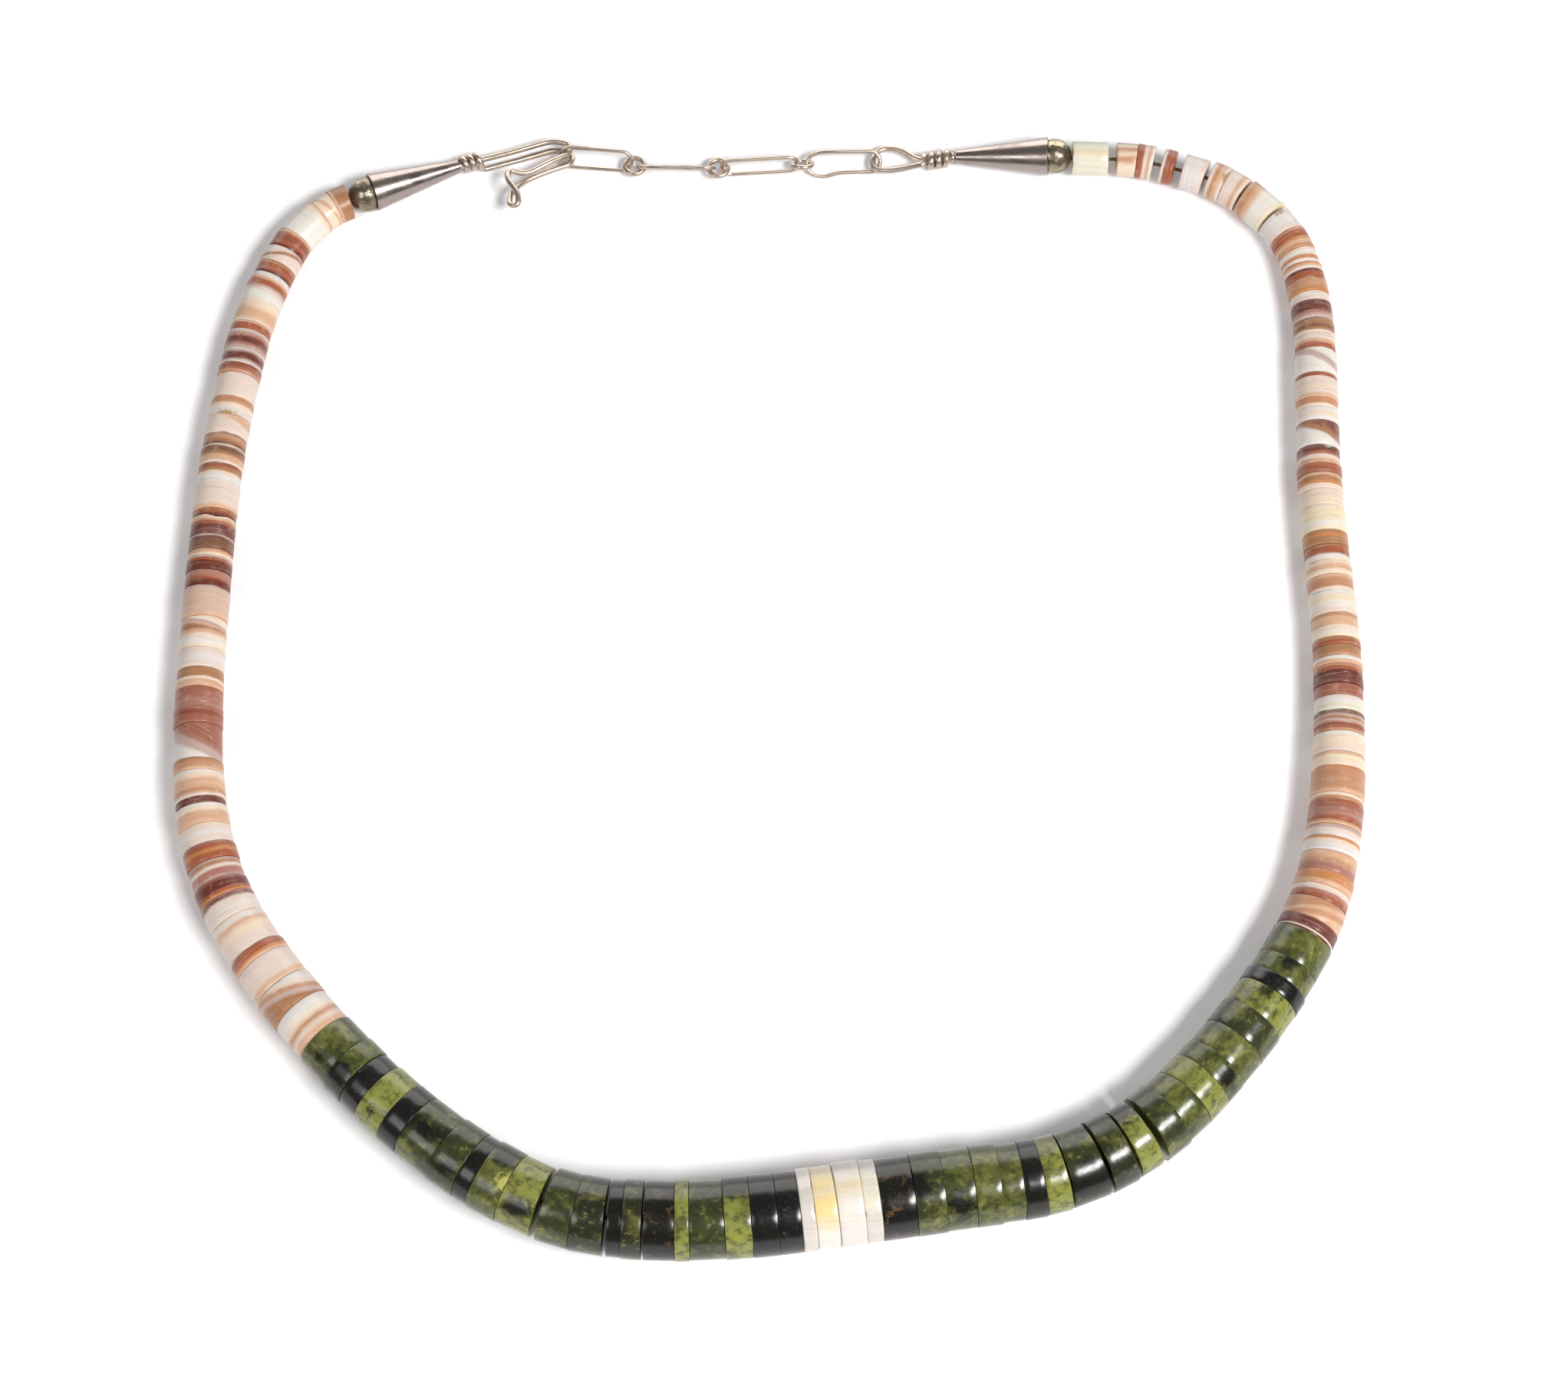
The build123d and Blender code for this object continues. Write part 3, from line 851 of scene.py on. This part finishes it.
@dataclass
class DiscString:
    """One string of discs, each in its packed seat.

    Close_mm is how much longer each disc is at a mouth than its solid, which leaves room for the next one.
    Discs thinner than full_nick_mm have shallower nicks. Pattern_step_mm keeps the discs' patterns apart.
    """

    name: str
    node: str
    slot: str
    rim_mm: float
    uneven: float
    seed: int
    chips: tuple[Chip, ...] = ()
    stains: tuple[Stain, ...] = ()
    bore_mm: float = 1.4
    nicks: int = 2
    nick_width_mm: tuple[float, float] = (0.3, 0.9)
    nick_depth_mm: tuple[float, float] = (0.04, 0.14)
    full_nick_mm: float = 2.0
    close_mm: float = 0.055
    pattern_step_mm: float = 17.0

    def build(self, pattern: DiscPattern, seats: Sequence[Seat], words: Sequence[Word],
              finish: bpy.types.Material) -> bpy.types.Object:
        """Copies the pattern to each seat and joins the copies.

        Args:
            pattern: The one disc.
            seats: The seats, in order.
            words: The chart's words, one for each seat.
            finish: The material.

        Returns:
            The finished string.
        """
        if len(seats) != len(words):
            raise ValueError(f"{self.name}: {len(seats)} seats and {len(words)} words")
        draw = random.Random(self.seed)
        discs = []
        for number, (seat, word) in enumerate(zip(seats, words), 1):
            mesh = pattern.mesh.copy()
            chips = [chip for chip in self.chips if chip.disc == number] + self._nicks(number, seat, draw)
            seat = seat.longer(self.close_mm * MM)
            bore, rim = self.bore_mm * MM / 2, self.rim_mm * MM
            points = pattern.seated(seat, bore, rim, chips, draw, self.uneven)
            mesh.vertices.foreach_set("co", points.ravel())
            self._note(mesh, pattern, seat, word, number)
            disc = bpy.data.objects.new(f"{self.name}_{number}", mesh)
            bpy.context.scene.collection.objects.link(disc)
            discs.append(disc)
        choose(*discs)
        if len(discs) > 1:
            bpy.ops.object.join()
        piece = discs[0]
        piece.name = piece.data.name = self.name
        piece.data.materials.clear()
        piece.data.materials.append(finish)
        piece.data.update()
        log.info("%s: %d discs, %d faces", self.name, len(words), len(piece.data.polygons))
        return piece

    def _nicks(self, number: int, seat: Seat, draw: random.Random) -> list[Chip]:
        """Draws the small nicks that any handled disc has."""
        share = min(1.0, seat.thickness / (self.full_nick_mm * MM))
        return [Chip(number, draw.random() < 0.5, draw.uniform(-math.pi, math.pi),
                     draw.uniform(*self.nick_width_mm), draw.uniform(*self.nick_depth_mm) * share)
                for _ in range(self.nicks)]

    def _note(self, mesh: bpy.types.Mesh, pattern: DiscPattern, seat: Seat, word: Word, number: int) -> None:
        """Writes what the finish reads onto a disc's points."""
        x, y, z = pattern.points.T
        share = z + 0.5
        apart = np.full(len(x), self.pattern_step_mm * number)
        thickness, radius = seat.thickness / MM, seat.radius / MM
        if isinstance(word, ShellWord):
            lane = word.lane(share, x)
            crosswise = word.slope is Slope.CROSSWISE
            across = 2 * radius if crosswise else thickness
            other = thickness * share if crosswise else radius * x
            spot = np.column_stack([lane * across + apart, other, radius * y])
            self._write(mesh, "spot", "FLOAT_VECTOR", spot)
            self._write(mesh, "lane", "FLOAT", lane)
            tones, cuts = word.bands()
            for band, colour in enumerate(tones):
                self._write(mesh, f"tone_{band}", "FLOAT_COLOR", np.tile(colour, (len(x), 1)))
            for band, cut in enumerate(cuts, 1):
                self._write(mesh, f"cut_{band}", "FLOAT", np.full(len(x), cut))
            stains = [stain.strength(share, x) for stain in self.stains if stain.disc == number]
            self._write(mesh, "stain", "FLOAT", np.sum(stains, axis=0) if stains else np.zeros(len(x)))
        else:
            spot = np.column_stack([share * thickness + apart, radius * x, radius * y])
            self._write(mesh, "spot", "FLOAT_VECTOR", spot)
            self._write(mesh, "tone_0", "FLOAT_COLOR", np.tile(GREEN_TONES[word.green], (len(x), 1)))
            self._write(mesh, "blot", "FLOAT", word.blot(share, x))
            self._write(mesh, "patch", "FLOAT", word.patch(share, x))
            self._write(mesh, "frost", "FLOAT", np.full(len(x), float("f" in word.marks)))
            self._write(mesh, "vein", "FLOAT", np.full(len(x), float("v" in word.marks)))

    @staticmethod
    def _write(mesh: bpy.types.Mesh, name: str, kind: str, values: np.ndarray) -> None:
        """Writes one attribute onto a mesh's points."""
        attribute = mesh.attributes.new(name, kind, "POINT")
        key = {"FLOAT": "value", "FLOAT_VECTOR": "vector", "FLOAT_COLOR": "color"}[kind]
        attribute.data.foreach_set(key, np.ascontiguousarray(values, dtype=np.float32).ravel())


@dataclass
class Thread:
    """The thread through every disc, laid up from plies, with its ends inside the cones.

    Ply_share is a ply's thickness as a share of the thread's, and points nearer than same_point are joined.
    """

    diameter_mm: float = 0.68
    plies: int = 3
    ply_share: float = 0.52
    ply_sides: int = 6
    pitch_mm: float = 2.1
    steps: int = 10
    same_point: float = 2e-5

    def build(self, route: Sequence[np.ndarray], finish: bpy.types.Material) -> bpy.types.Object:
        """Lays the plies along the route.

        Args:
            route: The points that the thread passes.
            finish: The material.

        Returns:
            The thread.
        """
        way = self._way(route)
        ply = self._lay()
        length = sum(float(np.linalg.norm(b - a)) for a, b in zip(route, route[1:]))
        choose(ply)
        row = ply.modifiers.new("row", "ARRAY")
        row.count = max(2, round(length / (self.pitch_mm * MM)))
        row.use_relative_offset, row.use_constant_offset = False, True
        row.constant_offset_displace = (length / row.count, 0, 0)
        row.use_merge_vertices, row.merge_threshold = True, self.same_point
        bpy.ops.object.modifier_apply(modifier=row.name)
        bend = ply.modifiers.new("bend", "CURVE")
        bend.object, bend.deform_axis = way, "POS_X"
        bpy.ops.object.modifier_apply(modifier=bend.name)
        bpy.data.objects.remove(way)
        bpy.ops.object.shade_smooth()
        ply.name = ply.data.name = "twisted_thread"
        ply.data.materials.clear()
        ply.data.materials.append(finish)
        log.info("twisted_thread: %.0f mm, %d faces", length / MM, len(ply.data.polygons))
        return ply

    @staticmethod
    def _way(route: Sequence[np.ndarray]) -> bpy.types.Object:
        """Makes the curve that the plies follow."""
        curve = bpy.data.curves.new("thread_way", "CURVE")
        curve.dimensions = "3D"
        spline = curve.splines.new("POLY")
        spline.points.add(len(route) - 1)
        for point, place in zip(spline.points, route):
            point.co = (*place, 1.0)
        way = bpy.data.objects.new("thread_way", curve)
        bpy.context.scene.collection.objects.link(way)
        return way

    def _lay(self) -> bpy.types.Object:
        """Models one pitch of the twisted plies along +X."""
        thick = self.diameter_mm * MM
        ply_radius = thick / 2 * self.ply_share
        made = []
        for number in range(self.plies):
            turn = 2 * math.pi * number / self.plies
            arm = thick / 2 - ply_radius
            deselect()
            bpy.ops.mesh.primitive_circle_add(vertices=self.ply_sides, radius=ply_radius, fill_type="NOTHING",
                                              rotation=(0, math.pi / 2, 0),
                                              location=(0, arm * math.cos(turn), arm * math.sin(turn)))
            bpy.ops.object.transform_apply(location=True, rotation=True, scale=True)
            strand = bpy.context.object
            twist = strand.modifiers.new("twist", "SCREW")
            twist.axis, twist.angle, twist.screw_offset = "X", 2 * math.pi, self.pitch_mm * MM
            twist.steps = twist.render_steps = self.steps
            twist.use_normal_calculate = True
            bpy.ops.object.modifier_apply(modifier=twist.name)
            made.append(strand)
        choose(*made)
        bpy.ops.object.join()
        return made[0]


@dataclass
class Silver:
    """The silver pieces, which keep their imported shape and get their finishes."""

    cones: tuple[str, ...] = ("left_cone", "right_cone")
    balls: tuple[str, ...] = ("left_ball", "right_ball")
    wires: tuple[str, ...] = ("clasp_hook", "eye_loop", "chain_link_1", "chain_link_2", "chain_link_3",
                              "chain_link_4", "chain_ring_1", "chain_ring_2", "chain_ring_3")

    def dress(self) -> None:
        """Gives each silver node its finish."""
        cone = SilverFinish("cone_silver", bright=tone(166, 154, 149), dull=tone(126, 112, 106),
                            roughness=0.21, dull_share=0.4, warm_share=0.12)
        wire = SilverFinish("wire_silver", bright=tone(200, 185, 171), dull=tone(126, 108, 94),
                            roughness=0.30, dull_share=0.6)
        ball = SilverFinish("ball_silver", bright=tone(170, 160, 138), dull=tone(64, 50, 44),
                            roughness=0.25, dull_share=0.9, warm_share=0.6, dents=14.0)
        for names, look in ((self.cones, cone), (self.balls, ball), (self.wires, wire)):
            finish = look.made()
            for name in names:
                materials = frame["nodes"][name].data.materials
                materials.clear()
                materials.append(finish)
                log.info("%s: %s", name, finish.name)


@dataclass(frozen=True)
class SoftBox:
    """A rectangular light that faces the middle of the necklace, with its power in watts.

    Lights_sheet says whether it lights matt surfaces, or is only seen in polished ones.
    """

    name: str
    place: tuple[float, float, float]
    width: float
    height: float
    power: float
    colour: tuple[float, float, float]
    lights_sheet: bool = True

    def hang(self) -> None:
        """Hangs the light at its place."""
        deselect()
        bpy.ops.object.light_add(type="AREA", location=self.place)
        lamp = bpy.context.object
        lamp.name = self.name
        lamp.data.shape = "RECTANGLE"
        lamp.data.size, lamp.data.size_y = self.width, self.height
        lamp.data.energy, lamp.data.color = self.power, self.colour
        lamp.rotation_euler = (-Vector(self.place)).to_track_quat("-Z", "Y").to_euler()
        lamp.visible_diffuse = self.lights_sheet


@dataclass
class Studio:
    """The sheet, the lights and the camera. Angles are in degrees."""

    camera_place: tuple[float, float, float] = (0.00226, -0.234624, 0.542)
    camera_tilt: float = 23.0
    camera_width: float = 24.0
    sheet_size: float = 6.0
    sheet_drop: float = 0.00002
    soft_boxes: tuple[SoftBox, ...] = (
        SoftBox("key", (0.646, -0.521, 1.101), 0.62, 0.32, 21.0, (1.0, 0.99, 0.985)),
        SoftBox("fill", (-0.74, -0.67, 1.0), 0.62, 0.62, 4.2, (1.0, 0.99, 0.985)),
        SoftBox("backdrop", (0.0, 1.9, 0.74), 3.6, 1.56, 46.0, (1.0, 0.975, 0.94), lights_sheet=False),
    )
    surround_colour: Colour = (0.93, 0.90, 0.90, 1.0)
    surround_strength: float = 0.22

    def camera(self) -> None:
        """Places the camera where the photograph was taken from."""
        deselect()
        tilt = (math.radians(self.camera_tilt), 0, 0)
        bpy.ops.object.camera_add(location=self.camera_place, rotation=tilt)
        camera = bpy.context.object
        camera.name = "camera"
        camera.data.sensor_fit = "HORIZONTAL"
        camera.data.angle = math.radians(self.camera_width)
        camera.data.clip_start, camera.data.clip_end = 0.01, 20.0
        bpy.context.scene.camera = camera

    def light_up(self) -> None:
        """Hangs the key and fill lights and the wide light behind, and sets the dim surround."""
        for soft_box in self.soft_boxes:
            soft_box.hang()
        world = bpy.data.worlds.new("surround")
        world.use_nodes = True
        sky = world.node_tree.nodes["Background"].inputs
        sky["Color"].default_value = self.surround_colour
        sky["Strength"].default_value = self.surround_strength
        bpy.context.scene.world = world
        bpy.context.scene.view_settings.view_transform = "Standard"

    def sheet(self) -> None:
        """Lays the pale sheet under the necklace."""
        deselect()
        bpy.ops.mesh.primitive_plane_add(size=self.sheet_size, location=(0, 0, -self.sheet_drop))
        floor = bpy.context.object
        floor.name = "studio_floor"
        floor.data.materials.append(FloorFinish().made())


def place_piece(piece: bpy.types.Object, slot: str, *nodes: str) -> None:
    """Hangs a new piece on the root body and hides the imported nodes that it stands in for."""
    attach(piece, "root")
    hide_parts(*nodes)


def main() -> None:
    """Builds the necklace and its studio, piece by piece."""
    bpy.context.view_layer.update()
    studio = Studio()
    studio.camera()
    low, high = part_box("left_ball")
    pearls = [f"pearl_disc_{number}" for number in range(1, 5)]
    nodes = ["left_shell_beads", "left_stone_beads", *pearls, "right_stone_beads", "right_shell_beads"]
    seats = Seats(nodes, (low + high) / 2)
    pattern = DiscPattern()

    shell = ShellFinish("shell_polish", roughness=0.34, coat=0.08, lines=0.24, wander=0.16).made()
    nacre = ShellFinish("nacre_polish", roughness=0.22, coat=0.3, lines=0.14, wander=0.24,
                        soft_edge=0.09).made()
    stone = StoneFinish().made()
    left = DiscString("left_shell_discs", "left_shell_beads", "shell", rim_mm=0.16, uneven=0.014, seed=11,
                      chips=(Chip(15, True, 1.6, 1.3, 0.25), Chip(21, False, 1.3, 1.6, 0.3)),
                      stains=(Stain(14, True, 0.0, 0.9),))
    right = DiscString("right_shell_discs", "right_shell_beads", "shell", rim_mm=0.16, uneven=0.014, seed=12,
                       chips=(Chip(36, True, 2.0, 0.9, 0.7), Chip(16, True, 1.2, 1.5, 0.3)),
                       stains=(Stain(53, True, -0.2, 0.6), Stain(56, False, 0.1, 0.7)))
    for string, looks in ((left, LEFT_SHELL_LOOKS), (right, RIGHT_SHELL_LOOKS)):
        words = [ShellWord.read(word) for word in looks]
        place_piece(string.build(pattern, seats.by_node[string.node], words, shell), string.slot, string.node)
    for name, node, looks, seed in (("left_stone_discs", "left_stone_beads", LEFT_STONE_LOOKS, 13),
                                    ("right_stone_discs", "right_stone_beads", RIGHT_STONE_LOOKS, 14)):
        string = DiscString(name, node, "green_stone", rim_mm=0.08, uneven=0.006, seed=seed)
        words = [StoneWord.read(word) for word in looks]
        place_piece(string.build(pattern, seats.by_node[node], words, stone), string.slot, node)
    for number, (node, look) in enumerate(zip(pearls, PEARL_LOOKS), 1):
        disc = DiscString(f"nacre_disc_{number}", node, "nacre", rim_mm=0.18, uneven=0.005, seed=20 + number)
        place_piece(disc.build(pattern, seats.by_node[node], [ShellWord.read(look)], nacre), disc.slot, node)

    ends = [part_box(name) for name in ("left_cone", "left_ball", "right_ball", "right_cone")]
    middles = [np.array((low + high) / 2) for low, high in ends]
    route = [middles[0], middles[1], *seats.mouths, middles[2], middles[3]]
    place_piece(Thread().build(route, ThreadFinish().made()), "thread", "thread")
    Silver().dress()
    studio.sheet()
    studio.light_up()
    bpy.context.view_layer.update()


if __name__ == "__main__":
    logging.basicConfig(level=logging.INFO, format="%(message)s")
    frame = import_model()
    main()
